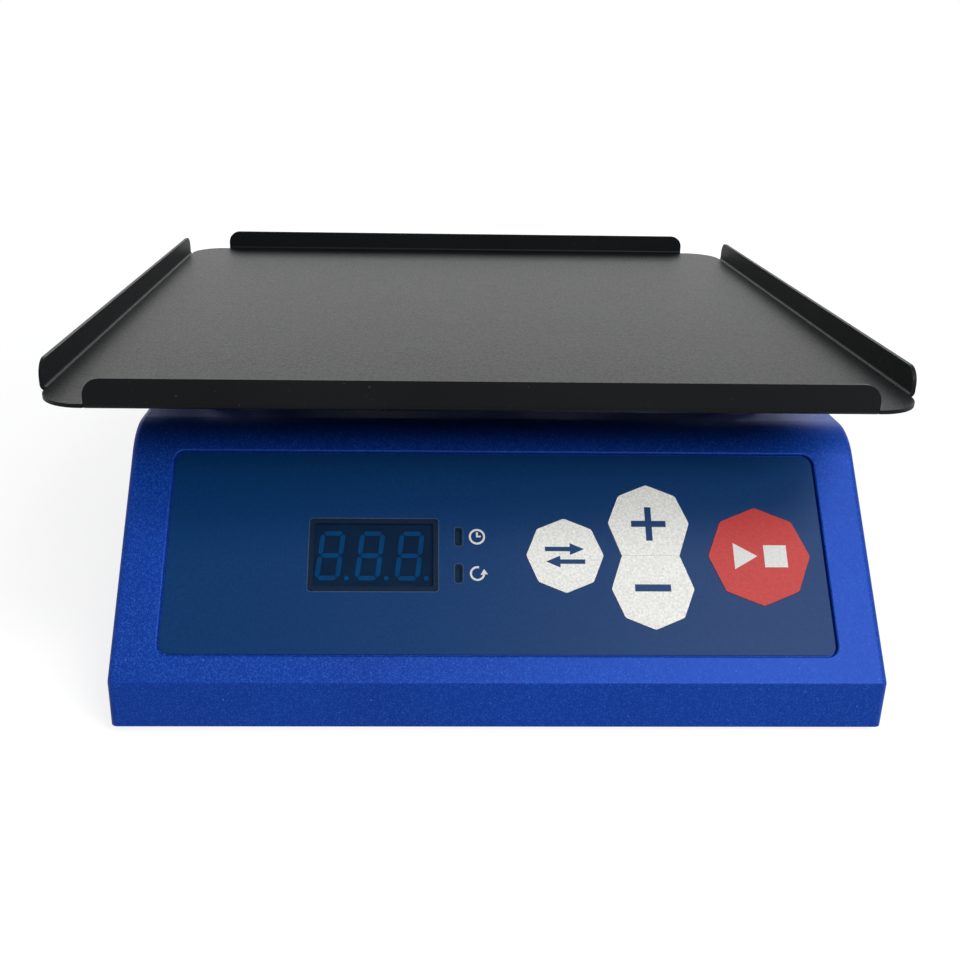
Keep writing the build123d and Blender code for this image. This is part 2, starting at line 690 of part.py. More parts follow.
save("bottom_plate_screws", *[Pos(p.X, p.Y, FOOT_H) * plate_screw for p in PLATE_SCREW_PLACES])
foot = disc(FOOT_R, 0, FOOT_H)
foot = chamfer(foot.edges().group_by(Axis.Z)[0], 0.7)
barb = Pos(0, 0, PLATE_TOP) * Cone(FOOT_STEM_R + 0.8, FOOT_STEM_R - 1, 3.0, align=LOW)
foot += disc(FOOT_STEM_R, FOOT_H - 1, PLATE_TOP) + barb
save("rubber_feet", *[Pos(p.X, p.Y, 0) * foot for p in FOOT_PLACES])
leg_screw = screw(LEG_SCREW_R, PLATE_T + LEG_SCREW_L, 3.6, 2.0, 1.5)
save("leg_screws", *[Pos(p.X, p.Y, FOOT_H) * leg_screw for p in LEG_PLACES])

# Control panel
save("control_overlay", overlay())
window = RectangleRounded(WINDOW_W, WINDOW_H, 1.0)
save("display_window", on_panel(Pos(WINDOW_X, ROW) * window, PANEL_INSET, OVERLAY_BOTTOM))
lamp_window = RectangleRounded(LAMP_W, LAMP_H, 0.8)
save("indicator_windows", *[
    on_panel(Pos(x, y) * lamp_window, PANEL_INSET, OVERLAY_BOTTOM) for x, y in LAMP_PLACES
])
for name, outline in key_outlines().items():
    x, y = KEY_PLACES[name]
    stem = on_panel(Pos(x, y) * Circle(STEM_R), KEY_TOP + OVERLAY_T / 2, STEM_END)
    save(f"{name}_key", on_panel(outline, KEY_TOP, KEY_BOTTOM) + stem)
switch_case = Rectangle(SWITCH_CASE, SWITCH_CASE) - Circle(STEM_R + STEM_GAP)
save("tact_switches", *[
    on_panel(Pos(x, y) * switch_case, SWITCH_TOP, BOARD_DEPTH) for x, y in KEY_PLACES.values()
])
display = Rectangle(3 * DIGIT_PITCH, WINDOW_H - 2 * WINDOW_LEDGE - 0.6)
save("display_module", on_panel(Pos(WINDOW_X, ROW) * display, FACE_DEPTH, BOARD_DEPTH))
save("display_segments", *digit_segments())
lamp = Rectangle(LAMP_W - 0.9, LAMP_H - 1.6)
lamp_top = OVERLAY_BOTTOM + 0.5
save("indicator_lamps", *[on_panel(Pos(x, y) * lamp, lamp_top, BOARD_DEPTH) for x, y in LAMP_PLACES])
board = Pos((BOARD_LEFT + BOARD_RIGHT) / 2, ROW) * Rectangle(BOARD_RIGHT - BOARD_LEFT, BOARD_H)
for x, y in BOARD_SCREW_PLACES:
    board -= Pos(x, y) * Circle(BOARD_SCREW_R + 0.2)
save("display_board", on_panel(board, BOARD_DEPTH, BOARD_DEPTH + BOARD_T))
board_screw = screw(BOARD_SCREW_R, BOARD_T + 5, 2.3, 1.4)
save("display_board_screws", *[
    PANEL.location * Pos(x, y, -BOARD_DEPTH - BOARD_T) * board_screw for x, y in BOARD_SCREW_PLACES
])

# Tray and carrier
save("platform_tray", tray())
stud = disc(STUD_R, TRAY_BOTTOM - STUD_L, TRAY_BOTTOM)
save("tray_studs", *[Pos(p.X, p.Y, 0) * stud for p in stud_places()])
nut_low = TRAY_BOTTOM - CARRIER_T - NUT_H
nut = extrude(Pos(0, 0, nut_low) * (RegularPolygon(NUT_R, 6) - Circle(STUD_R)), NUT_H)
save("tray_nuts", *[Pos(p.X, p.Y, 0) * nut for p in stud_places()])
save("carrier_spider", carrier())
pin_low = HUB_BOTTOM + SEAT_STEP
carrier_rings = []
for axis in IDLER_AXES:
    carrier_rings += outer_rings(SMALL_BEARING, [pin_low], axis + SHIFT)
save("carrier_idler_rings", *carrier_rings)
save("carrier_drive_ring", *outer_rings(MAIN_BEARING, [pin_low], DRIVE_AXIS + SHIFT))

# Chassis and fixed bearing rings
save("chassis_casting", chassis())
idler_lows = bearing_pair(SMALL_BEARING)
drive_lows = bearing_pair(MAIN_BEARING)
fixed_rings = []
for axis in IDLER_AXES:
    fixed_rings += outer_rings(SMALL_BEARING, idler_lows, axis)
save("idler_outer_rings", *fixed_rings)
save("drive_outer_rings", *outer_rings(MAIN_BEARING, drive_lows, DRIVE_AXIS))

# Eccentrics with their inner rings
for number, axis in enumerate(IDLER_AXES, 1):
    save(f"idler_{number}", eccentric(SMALL_BEARING, axis, IDLER_DISC_R, CHASSIS_Z + 1))
    rings = inner_rings(SMALL_BEARING, idler_lows, axis)
    rings += inner_rings(SMALL_BEARING, [pin_low], axis + SHIFT)
    save(f"idler_{number}_inner_rings", *rings)
    save(f"idler_{number}_clip", clip(SMALL_BEARING, axis))
save("drive_eccentric", eccentric(MAIN_BEARING, DRIVE_AXIS, DRIVE_DISC_R, WEIGHT_Z - 2))
drive_rings = inner_rings(MAIN_BEARING, drive_lows, DRIVE_AXIS)
drive_rings += inner_rings(MAIN_BEARING, [pin_low], DRIVE_AXIS + SHIFT)
save("drive_inner_rings", *drive_rings)
save("drive_clip", clip(MAIN_BEARING, DRIVE_AXIS))
save("driven_pulley", pulley(PULLEY_R, MAIN_BORE_R, DRIVE_AXIS, PULLEY_HUB_R, PULLEY_HUB_H))
save("counterweight", counterweight())

# Motor and belt
can_low = CHASSIS_TOP + MOTOR_PLATE_T
can = disc(MOTOR_R, can_low, MOTOR_TOP, MOTOR_AXIS)
can = chamfer(can.edges().group_by(Axis.Z)[-1], 1.0)
save("motor_can", can - disc(MOTOR_R - MOTOR_SKIN, can_low, MOTOR_TOP - MOTOR_SKIN, MOTOR_AXIS))
end_plate = ring(MOTOR_SHAFT_R + FIT, MOTOR_R, CHASSIS_TOP, can_low, MOTOR_AXIS)
end_plate += ring(MOTOR_SHAFT_R + FIT, MOTOR_BOSS_R, CHASSIS_Z + 1, CHASSIS_TOP, MOTOR_AXIS)
for place in MOTOR_SCREW_PLACES:
    end_plate -= disc(MOTOR_SCREW_R, CHASSIS_TOP, can_low, place)
save("motor_end_plate", end_plate)
core_low = can_low + 2
core_top = MOTOR_TOP - 5
save("motor_stator", ring(ROTOR_R + ROTOR_GAP, MOTOR_R - MOTOR_SKIN, core_low, core_top, MOTOR_AXIS))
rotor = disc(MOTOR_SHAFT_R, PULLEY_Z, core_top + 2, MOTOR_AXIS)
rotor += disc(ROTOR_R, core_low, core_top, MOTOR_AXIS)
save("motor_rotor", rotor)
save("motor_pulley", pulley(MOTOR_PULLEY_R, MOTOR_SHAFT_R, MOTOR_AXIS, 6.0, STACK_GAP))
motor_screw = screw(MOTOR_SCREW_R, CHASSIS_T + MOTOR_PLATE_T, 2.75, 1.8)
save("motor_screws", *[Pos(p.X, p.Y, CHASSIS_Z) * motor_screw for p in MOTOR_SCREW_PLACES])
belt = belt_outline(BELT_GAP + BELT_T) - belt_outline(BELT_GAP)
save("drive_belt", extrude(Pos(0, 0, PULLEY_Z + (PULLEY_T - BELT_W) / 2) * belt, BELT_W))

# Control board on the bottom plate
control_low = PLATE_TOP + STANDOFF_H
control_top = control_low + BOARD_T
control = block(CONTROL_W, CONTROL_D, control_low, control_top, CONTROL_PLACE)
standoffs = []
control_screws = []
control_screw = screw(CONTROL_SCREW_R, PLATE_T + STANDOFF_H + BOARD_T + 1.4, 2.75, 1.4)
for place in CONTROL_SCREW_PLACES:
    control -= disc(CONTROL_SCREW_R + 0.1, control_low, control_top, place)
    standoffs.append(ring(CONTROL_SCREW_R, STANDOFF_R, PLATE_TOP, control_low, place))
    control_screws.append(Pos(place.X, place.Y, FOOT_H) * control_screw)
save("control_board", control)
save("control_board_standoffs", *standoffs)
save("control_board_screws", *control_screws)
board_parts = [block(CHIP_W, CHIP_W, control_top, control_top + BOARD_T, CONTROL_PLACE)]
for side in (-1, 1):
    spot = CONTROL_PLACE + Vector(side * 2 * CHIP_W, CHIP_W - CONTROL_D / 2)
    board_parts.append(block(1.4 * CHIP_W, CHIP_W / 2, control_top, control_top + SOCKET_H, spot))
for step in (1.5, 2.4):
    spot = CONTROL_PLACE + Vector(step * CHIP_W, CHIP_W)
    board_parts.append(disc(CHIP_W / 3, control_top, control_top + CAPACITOR_H, spot))
save("control_board_parts", *board_parts)

# Rear inlet and rocker switch
inlet = Cylinder(INLET_FLANGE_R, BEZEL_T, align=LOW)
inlet += Pos(0, 0, 1 - SWITCH_D) * Cylinder(INLET_R, SWITCH_D - 1, align=LOW)
inlet_floor = INLET_FLOOR - SWITCH_D + 1
inlet -= Pos(0, 0, inlet_floor) * Cylinder(INLET_BORE_R, SWITCH_D, align=LOW)
pin = Pos(0, 0, inlet_floor) * Cylinder(INLET_PIN_R, -inlet_floor - 1, align=LOW)
save("power_inlet", to_back(-REAR_X) * inlet, to_back(-REAR_X) * pin)
inlet_nut = RegularPolygon(INLET_FLANGE_R + 0.5, 6) - Circle(INLET_R)
save("power_inlet_nut", to_back(-REAR_X) * Pos(0, 0, -WALL - 2.5) * extrude(inlet_nut, 2.5))
case = Box(SWITCH_W + 2 * BEZEL, SWITCH_H + 2 * BEZEL, BEZEL_T, align=LOW)
case += Pos(0, 0, -SWITCH_D) * Box(SWITCH_W, SWITCH_H, SWITCH_D, align=LOW)
case -= Pos(0, 0, -8) * Box(SWITCH_W - 2 * BEZEL, SWITCH_H - 2 * BEZEL, 8 + BEZEL_T, align=LOW)
case -= Pos(0, 0, -ROCKER_PIVOT) * Rot(0, 90, 0) * Cylinder(1.0 + FIT, SWITCH_W - 1.4)
save("power_switch_case", to_back(REAR_X) * case)
half = SWITCH_H / 2 - BEZEL - 0.8
profile = Polyline((-3, -half), (2.6, -half), (1.2, 0), (2.6, half), (-3, half), close=True)
rocker = extrude(Plane.YZ * make_face(profile), SWITCH_W / 2 - BEZEL - 0.3, both=True)
rocker = Pos(0, ROCKER_PIVOT, 0) * rocker + Rot(0, 90, 0) * Cylinder(1.0, SWITCH_W - 1.6)
place = Pos(REAR_X, BACK_Y - ROCKER_PIVOT, REAR_Z)
save("power_rocker", place * Rot(-SWITCH_DEG, 0, 0) * rocker)
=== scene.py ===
import json
from math import cos, radians, sin

import bmesh
import bpy
from mathutils import Matrix, Vector


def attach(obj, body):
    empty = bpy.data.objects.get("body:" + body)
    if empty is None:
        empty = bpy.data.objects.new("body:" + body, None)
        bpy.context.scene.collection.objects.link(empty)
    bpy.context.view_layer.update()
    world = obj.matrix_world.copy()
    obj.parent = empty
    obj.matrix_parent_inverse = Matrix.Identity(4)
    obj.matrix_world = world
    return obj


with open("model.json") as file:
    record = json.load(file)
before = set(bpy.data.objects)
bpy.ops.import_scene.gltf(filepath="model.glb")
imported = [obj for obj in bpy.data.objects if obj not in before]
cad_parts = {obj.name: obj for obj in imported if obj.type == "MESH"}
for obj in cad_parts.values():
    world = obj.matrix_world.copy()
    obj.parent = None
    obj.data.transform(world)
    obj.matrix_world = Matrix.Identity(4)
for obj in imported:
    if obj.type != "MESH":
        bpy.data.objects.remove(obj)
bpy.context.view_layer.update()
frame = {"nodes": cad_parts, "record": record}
NODES = frame["nodes"]

MM = 0.001

# The slope starts at the top of the housing's front band, and the panel's middle lies on it, in metres
SLOPE = radians(47.2)
SLOPE_START = (-0.128, 0.0186)
PANEL_ALONG_SLOPE = 0.0425
PANEL_MIDDLE = Vector((
    0,
    SLOPE_START[0] + PANEL_ALONG_SLOPE * cos(SLOPE),
    SLOPE_START[1] + PANEL_ALONG_SLOPE * sin(SLOPE),
))
PANEL_UP = Vector((0, cos(SLOPE), sin(SLOPE)))
PANEL_OUT = Vector((0, -sin(SLOPE), cos(SLOPE)))


def panel_matrix(x, y, depth):
    """Panel coordinates in mm, with depth inward, as a place whose Z points out of the panel."""
    place = PANEL_MIDDLE + Vector((x * MM, 0, 0)) + PANEL_UP * (y * MM) - PANEL_OUT * (depth * MM)
    turn = Matrix((Vector((1, 0, 0)), PANEL_UP, PANEL_OUT)).transposed()
    return Matrix.Translation(place) @ turn.to_4x4()


# Materials
class Look:
    """A node material with a few helpers for noise, ramps and bumps."""

    def __init__(self, name, colour, roughness=0.5, metallic=0.0):
        self.material = bpy.data.materials.new(name)
        self.material.use_nodes = True
        self.tree = self.material.node_tree
        self.shader = self.tree.nodes["Principled BSDF"]
        self.shader.inputs["Base Color"].default_value = (*colour, 1)
        self.shader.inputs["Roughness"].default_value = roughness
        self.shader.inputs["Metallic"].default_value = metallic
        self.place = self.tree.nodes.new("ShaderNodeTexCoord").outputs["Object"]

    def node(self, kind, **settings):
        made = self.tree.nodes.new(kind)
        for key, value in settings.items():
            setattr(made, key, value)
        return made

    def link(self, output, target):
        self.tree.links.new(output, target)

    def put(self, **values):
        for key, value in values.items():
            self.shader.inputs[key.replace("_", " ")].default_value = value

    def noise(self, size_mm, detail=2.0, rough=0.5, stretch=(1, 1, 1)):
        mapping = self.node("ShaderNodeMapping")
        mapping.inputs["Scale"].default_value = [s / (size_mm * MM) for s in stretch]
        self.link(self.place, mapping.inputs["Vector"])
        made = self.node("ShaderNodeTexNoise")
        made.inputs["Scale"].default_value = 1.0
        made.inputs["Detail"].default_value = detail
        made.inputs["Roughness"].default_value = rough
        self.link(mapping.outputs["Vector"], made.inputs["Vector"])
        return made.outputs["Fac"]

    def cells(self, size_mm):
        """Cells of that size, each with a colour of its own."""
        mapping = self.node("ShaderNodeMapping")
        mapping.inputs["Scale"].default_value = [1 / (size_mm * MM)] * 3
        self.link(self.place, mapping.inputs["Vector"])
        made = self.node("ShaderNodeTexVoronoi")
        made.inputs["Scale"].default_value = 1.0
        self.link(mapping.outputs["Vector"], made.inputs["Vector"])
        return made.outputs["Color"]

    def ramp(self, source, *stops):
        made = self.node("ShaderNodeValToRGB")
        elements = made.color_ramp.elements
        while len(elements) < len(stops):
            elements.new(0.5)
        for element, (at, value) in zip(elements, stops):
            element.position = at
            element.color = (*value, 1) if isinstance(value, tuple) else (value, value, value, 1)
        self.link(source, made.inputs["Fac"])
        return made.outputs["Color"]

    def mix(self, factor, first, second):
        made = self.node("ShaderNodeMix", data_type="RGBA")
        self.link(factor, made.inputs["Factor"])
        for source, target in ((first, made.inputs["A"]), (second, made.inputs["B"])):
            if isinstance(source, tuple):
                target.default_value = (*source, 1)
            else:
                self.link(source, target)
        return made.outputs["Result"]

    def bump(self, height, strength, depth_mm, after=None):
        """A bump that goes to the shader, on top of an earlier one where it is given."""
        made = self.node("ShaderNodeBump")
        made.inputs["Strength"].default_value = strength
        made.inputs["Distance"].default_value = depth_mm * MM
        self.link(height, made.inputs["Height"])
        if after is not None:
            self.link(after, made.inputs["Normal"])
        self.link(made.outputs["Normal"], self.shader.inputs["Normal"])
        return made.outputs["Normal"]

    def colour(self, source):
        self.link(source, self.shader.inputs["Base Color"])

    def rough(self, source):
        self.link(source, self.shader.inputs["Roughness"])


def blue_paint():
    """Blue paint with fine metallic flakes, and a few bright cells that are painted glints of light
    off the flakes.
    """
    look = Look("blue_paint", (0.001, 0.034, 0.28), 0.42)
    deep = (0.001, 0.031, 0.25)
    pale = (0.001, 0.038, 0.30)
    flake_blue = (0.018, 0.10, 0.48)
    painted_glint_blue = (0.12, 0.30, 0.85)
    flake_mm = 0.30
    painted_glint_mm = 0.33
    tone = look.ramp(look.noise(60, 2), (0.3, deep), (0.7, pale))
    flake = look.cells(flake_mm)
    shade = look.ramp(flake, (0.55, 0.0), (1.0, 1.0))
    body = look.mix(shade, tone, flake_blue)
    # Painted glints: a few cells in pale blue stand in for light flashing off flakes
    painted_glint = look.ramp(look.cells(painted_glint_mm), (0.96, 0.0), (1.0, 1.0))
    look.colour(look.mix(painted_glint, body, painted_glint_blue))
    look.rough(look.ramp(flake, (0.2, 0.36), (0.8, 0.55)))
    look.bump(look.noise(0.5, 3, 0.6), 0.30, 0.03)
    look.put(Metallic=0.2, Specular_IOR_Level=0.14)
    return look.material


def powder_coat():
    """Black powder coat with an uneven skin and sparse grey flecks."""
    look = Look("black_powder_coat", (0.003, 0.0035, 0.004), 0.45)
    deep = (0.0015, 0.002, 0.0025)
    pale = (0.003, 0.004, 0.005)
    fleck_grey = (0.03, 0.03, 0.03)
    fleck_mm = 0.5
    tone = look.ramp(look.noise(45, 3), (0.3, deep), (0.7, pale))
    fleck = look.ramp(look.cells(fleck_mm), (0.94, 0.0), (1.0, 1.0))
    look.colour(look.mix(fleck, tone, fleck_grey))
    fine = look.noise(0.7, 3, 0.6)
    look.rough(look.ramp(fine, (0.3, 0.40), (0.7, 0.54)))
    coarse = look.bump(look.noise(2.0, 2, 0.5), 0.5, 0.10)
    look.bump(fine, 0.5, 0.06, coarse)
    look.put(Specular_IOR_Level=0.10)
    return look.material


def varied(colour, down, up):
    """A darker and a lighter shade of a colour, none above full strength."""
    return tuple(c * down for c in colour), tuple(min(1.0, c * up) for c in colour)


def overlay_film(name, colour, spread=0.12, roughness=0.40):
    """Printed film with a fine grain in its colour."""
    look = Look(name, colour, roughness)
    dark, light = varied(colour, 1 - spread, 1 + spread)
    look.colour(look.ramp(look.noise(0.9, 3, 0.7), (0.35, dark), (0.65, light)))
    look.bump(look.noise(0.3, 2), 0.12, 0.02)
    look.put(Specular_IOR_Level=0.12)
    return look.material


def silver_print():
    """Silver print with a coarse grain."""
    look = Look("silver_key", (0.76, 0.76, 0.73), 0.45)
    dull = (0.58, 0.58, 0.55)
    bright = (0.86, 0.86, 0.82)
    look.colour(look.ramp(look.noise(0.7, 2, 0.8), (0.3, dull), (0.7, bright)))
    look.bump(look.noise(0.3, 2), 0.12, 0.02)
    look.put(Specular_IOR_Level=0.15)
    return look.material


def plastic(name, colour, roughness=0.45, grain_mm=0.8, depth_mm=0.04, gloss=0.5):
    """Moulded plastic or rubber with a grained skin."""
    look = Look(name, colour, roughness)
    look.put(Specular_IOR_Level=gloss)
    dark, light = varied(colour, 0.85, 1.18)
    look.colour(look.ramp(look.noise(9, 3), (0.3, dark), (0.7, light)))
    look.bump(look.noise(grain_mm, 2), 0.3, depth_mm)
    return look.material


def metal(name, colour, roughness=0.3, stretch=(1, 1, 1), grain_mm=0.6, depth_mm=0.01):
    """Bare metal, whose grain can be finer along one direction, as on turned pieces."""
    look = Look(name, colour, roughness, 1.0)
    dark, light = varied(colour, 0.86, 1.1)
    look.colour(look.ramp(look.noise(7, 4), (0.3, dark), (0.7, light)))
    fine = look.noise(grain_mm, 3, 0.6, stretch)
    look.rough(look.ramp(fine, (0.3, roughness * 0.75), (0.7, roughness * 1.3)))
    look.bump(fine, 0.3, depth_mm)
    return look.material


def tinted_window():
    """Dark blue window that the display shows through."""
    look = Look("window_tint", (0.002, 0.012, 0.034), 0.50)
    look.put(Alpha=0.35, Specular_IOR_Level=0.03)
    dark = (0.0, 0.006, 0.020)
    light = (0.006, 0.020, 0.050)
    look.colour(look.ramp(look.noise(0.4, 3, 0.7), (0.35, dark), (0.65, light)))
    look.bump(look.noise(0.4, 2), 0.08, 0.01)
    return look.material


TURNED = (1, 1, 12)
LOOKS = {
    "blue_paint": blue_paint(),
    "black_powder_coat": powder_coat(),
    "overlay_film": overlay_film("overlay_film", (0.0005, 0.031, 0.122)),
    "silver_key": silver_print(),
    "red_key": overlay_film("red_key", (0.46, 0.045, 0.043), 0.1),
    "window_tint": tinted_window(),
    "rubber": plastic("rubber", (0.018, 0.018, 0.018), 0.75, 0.5, 0.05),
    "black_plastic": plastic("black_plastic", (0.016, 0.016, 0.017), 0.45),
    "display_body": plastic("display_body", (0.009, 0.046, 0.13), 0.6, gloss=0.08),
    "segment_tint": plastic("segment_tint", (0.0, 0.20, 0.66), 0.6, gloss=0.05),
    "lamp_body": plastic("lamp_body", (0.03, 0.09, 0.20), 0.5, gloss=0.1),
    "circuit_board": plastic("circuit_board", (0.01, 0.12, 0.05), 0.4),
    "zinc_steel": metal("zinc_steel", (0.60, 0.61, 0.60), 0.32),
    "dark_steel": metal("dark_steel", (0.16, 0.16, 0.17), 0.4),
    "bright_steel": metal("bright_steel", (0.68, 0.68, 0.69), 0.22, TURNED),
    "cast_aluminium": metal("cast_aluminium", (0.62, 0.63, 0.64), 0.5, grain_mm=1.2, depth_mm=0.08),
    "aluminium": metal("aluminium", (0.70, 0.71, 0.72), 0.28, TURNED),
    "brass": metal("brass", (0.66, 0.46, 0.18), 0.3),
}
for part in frame["record"]["subparts"]:
    shown = NODES[part["node"]]
    shown.data.materials.clear()
    shown.data.materials.append(LOOKS[part["material_slot"]])

# Printed marks on the panel and the keys
INK = overlay_film("navy_ink", (0.006, 0.04, 0.13), 0.1, 0.4)
WHITE = overlay_film("white_ink", (0.62, 0.62, 0.60), 0.08, 0.45)
# Paler navy that paints the highlight along the windows' edges
EDGE_HIGHLIGHT = overlay_film("painted_edge_highlight", (0.030, 0.060, 0.105), 0.2, 0.5)
BORDER = overlay_film("border_ink", (0.0005, 0.009, 0.030), 0.4, 0.6)


def printed(name, outlines, place, depth, material, body, thick=0.03):
    """A flat printed mark from closed outlines in mm, laid on the surface at that depth."""
    mesh = bmesh.new()
    for outline in outlines:
        ring = [mesh.verts.new((a * MM, b * MM, 0)) for a, b in outline]
        mesh.faces.new(ring)
    bmesh.ops.recalc_face_normals(mesh, faces=mesh.faces)
    made = bmesh.ops.extrude_face_region(mesh, geom=list(mesh.faces))
    raised = [v for v in made["geom"] if isinstance(v, bmesh.types.BMVert)]
    bmesh.ops.translate(mesh, verts=raised, vec=(0, 0, thick * MM))
    bmesh.ops.recalc_face_normals(mesh, faces=mesh.faces)
    data = bpy.data.meshes.new(name)
    mesh.to_mesh(data)
    mesh.free()
    thing = bpy.data.objects.new(name, data)
    bpy.context.scene.collection.objects.link(thing)
    thing.matrix_world = panel_matrix(*place, depth)
    data.materials.append(material)
    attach(thing, body)


def bar(x0, y0, x1, y1):
    """A rectangle from two of its corners."""
    return [(x0, y0), (x1, y0), (x1, y1), (x0, y1)]


def plus_sign(half_width, half_height, half_line):
    """A crossbar with a bar above and a bar below it."""
    return [
        bar(-half_width, -half_line, half_width, half_line),
        bar(-half_line, half_line, half_line, half_height),
        bar(-half_line, -half_height, half_line, -half_line),
    ]


def arrow(tail, neck, tip, middle, line, head):
    """An arrow to the right at a middle height, with the widths of its line and head."""
    return [
        (tail, middle - line / 2),
        (neck, middle - line / 2),
        (neck, middle - head / 2),
        (tip, middle),
        (neck, middle + head / 2),
        (neck, middle + line / 2),
        (tail, middle + line / 2),
    ]


def turned_round(outline):
    """The same outline turned half round."""
    return [(-x, -y) for x, y in outline]


def arc_band(radius, width, start, end, steps=28):
    """A curved band between two angles, as one outline."""
    outer = []
    inner = []
    for step in range(steps + 1):
        angle = radians(start + (end - start) * step / steps)
        outer.append(((radius + width / 2) * cos(angle), (radius + width / 2) * sin(angle)))
        inner.append(((radius - width / 2) * cos(angle), (radius - width / 2) * sin(angle)))
    return outer + inner[::-1]


def framed(width, height, corner, line, steps=6):
    """The two halves of a thin rounded frame around a rectangle."""
    halves = []
    for side in (1, -1):
        outer = []
        inner = []
        for centre_sign, start in ((-1, -90), (1, 0)):
            for step in range(steps + 1):
                angle = radians(start + 90 * step / steps)
                for ring, grow in ((outer, line), (inner, 0)):
                    x = width / 2 - corner + (corner + grow) * cos(angle)
                    y = centre_sign * (height / 2 - corner) + (corner + grow) * sin(angle)
                    ring.append((side * x, y))
        outer = [(0, -height / 2 - line)] + outer + [(0, height / 2 + line)]
        inner = [(0, -height / 2)] + inner + [(0, height / 2)]
        halves.append(outer + inner[::-1])
    return halves


# Middles of the keys, windows and marks on the panel, in mm from the panel's middle
MIDDLE_ROW = -1.3
MODE_PLACE = (21.6, MIDDLE_ROW)
PLUS_PLACE = (49.2, 9.5)
MINUS_PLACE = (49.2, -12.0)
START_PLACE = (84.3, MIDDLE_ROW)
WINDOW_PLACE = (-39.75, MIDDLE_ROW)
LAMP_X = -12.5
LAMP_ROWS = {"upper": 4.85, "lower": -7.45}
LABEL_X = -6.6

# Depths of the printed surfaces below the slope, in mm
ON_KEY = 0.745
ON_SHEET = 0.895

# Plus and minus, opposed arrows on the mode key, and a triangle and a square on the start key
right_arrow = arrow(tail=-6.4, neck=1.6, tip=6.2, middle=2.1, line=1.5, head=4.0)
triangle = [(-8.2, -4.4), (-8.2, 4.4), (-0.6, 0)]
square = bar(1.6, -3.7, 9.0, 3.7)
key_marks = (
    ("plus_mark", plus_sign(5.65, 5.75, 1.05), PLUS_PLACE, INK, "plus_key_body"),
    ("minus_mark", [bar(-5.75, -1.17, 5.75, 1.17)], MINUS_PLACE, INK, "minus_key_body"),
    ("mode_mark", [right_arrow, turned_round(right_arrow)], MODE_PLACE, INK, "mode_key_body"),
    ("start_mark", [triangle, square], START_PLACE, WHITE, "start_key_body"),
)
for name, outlines, place, ink, body in key_marks:
    printed(name, outlines, place, ON_KEY, ink, body)

# A clock beside the upper lamp window, and a turning arrow beside the lower one
clock = [
    arc_band(2.3, 0.65, 0, 180),
    arc_band(2.3, 0.65, 180, 360),
    bar(-0.3, -0.2, 0.3, 1.5),
    bar(0.3, -0.2, 1.2, 0.35),
]
turn_head = [(1.0, -0.4), (3.3, -0.2), (2.1, 1.5)]
turning = [arc_band(2.1, 0.65, 75, 350), turn_head]
printed("clock_mark", clock, (LABEL_X, LAMP_ROWS["upper"]), ON_SHEET, WHITE, "housing")
printed("turn_mark", turning, (LABEL_X, LAMP_ROWS["lower"]), ON_SHEET, WHITE, "housing")

# A thin paler rim, a painted highlight along each window's edge, and a dark border round each window
HIGHLIGHT_THICK = 0.02
BORDER_THICK = 0.015
window_edge_highlight = framed(41.3, 24.2, corner=1.0, line=0.3)
window_border = framed(38.1, 21.0, corner=0.6, line=1.6)
lamp_edge_highlight = framed(2.5, 6.1, corner=0.8, line=0.28)
lamp_border = framed(1.5, 4.5, corner=0.4, line=0.5)
printed("window_edge_highlight", window_edge_highlight, WINDOW_PLACE, ON_SHEET, EDGE_HIGHLIGHT, "housing", HIGHLIGHT_THICK)
printed("window_border", window_border, WINDOW_PLACE, ON_SHEET, BORDER, "housing", BORDER_THICK)
for row, height in LAMP_ROWS.items():
    place = (LAMP_X, height)
    printed(f"{row}_lamp_edge_highlight", lamp_edge_highlight, place, ON_SHEET, EDGE_HIGHLIGHT, "housing", HIGHLIGHT_THICK)
    printed(f"{row}_lamp_border", lamp_border, place, ON_SHEET, BORDER, "housing", BORDER_THICK)

# Camera at the photograph's place: turns in radians, place in metres, picture values in pixels
YAW, PITCH, ROLL = 0.0267, 0.3638, 0.0161
CAMERA_PLACE = (-0.02624, -0.42111, 0.20063)
PICTURE = 960
FOCAL_LENGTH = 1109.696
PICTURE_MIDDLE = (444.128, 467.683)
SENSOR_MM = 36
forward = Vector((sin(YAW) * cos(PITCH), cos(YAW) * cos(PITCH), -sin(PITCH)))
level = Vector((cos(YAW), -sin(YAW), 0))
upright = level.cross(forward)
right = level * cos(ROLL) + upright * sin(ROLL)
up = upright * cos(ROLL) - level * sin(ROLL)
camera = bpy.data.objects.new("camera", bpy.data.cameras.new("camera"))
bpy.context.scene.collection.objects.link(camera)
turn = Matrix((right, up, -forward)).transposed()
camera.matrix_world = Matrix.Translation(CAMERA_PLACE) @ turn.to_4x4()
camera.data.sensor_width = SENSOR_MM
camera.data.lens = SENSOR_MM * FOCAL_LENGTH / PICTURE
camera.data.shift_x = (PICTURE / 2 - PICTURE_MIDDLE[0]) / PICTURE
camera.data.shift_y = (PICTURE_MIDDLE[1] - PICTURE / 2) / PICTURE
camera.data.clip_start = 0.01
bpy.context.scene.camera = camera


def shown_rays(tree):
    """One where the camera, gloss or glass looks, and zero for the light that falls on things."""
    path = tree.nodes.new("ShaderNodeLightPath")
    found = path.outputs["Is Camera Ray"]
    for name in ("Is Glossy Ray", "Is Transmission Ray"):
        either = tree.nodes.new("ShaderNodeMath")
        either.operation = "MAXIMUM"
        tree.links.new(found, either.inputs[0])
        tree.links.new(path.outputs[name], either.inputs[1])
        found = either.outputs[0]
    return found


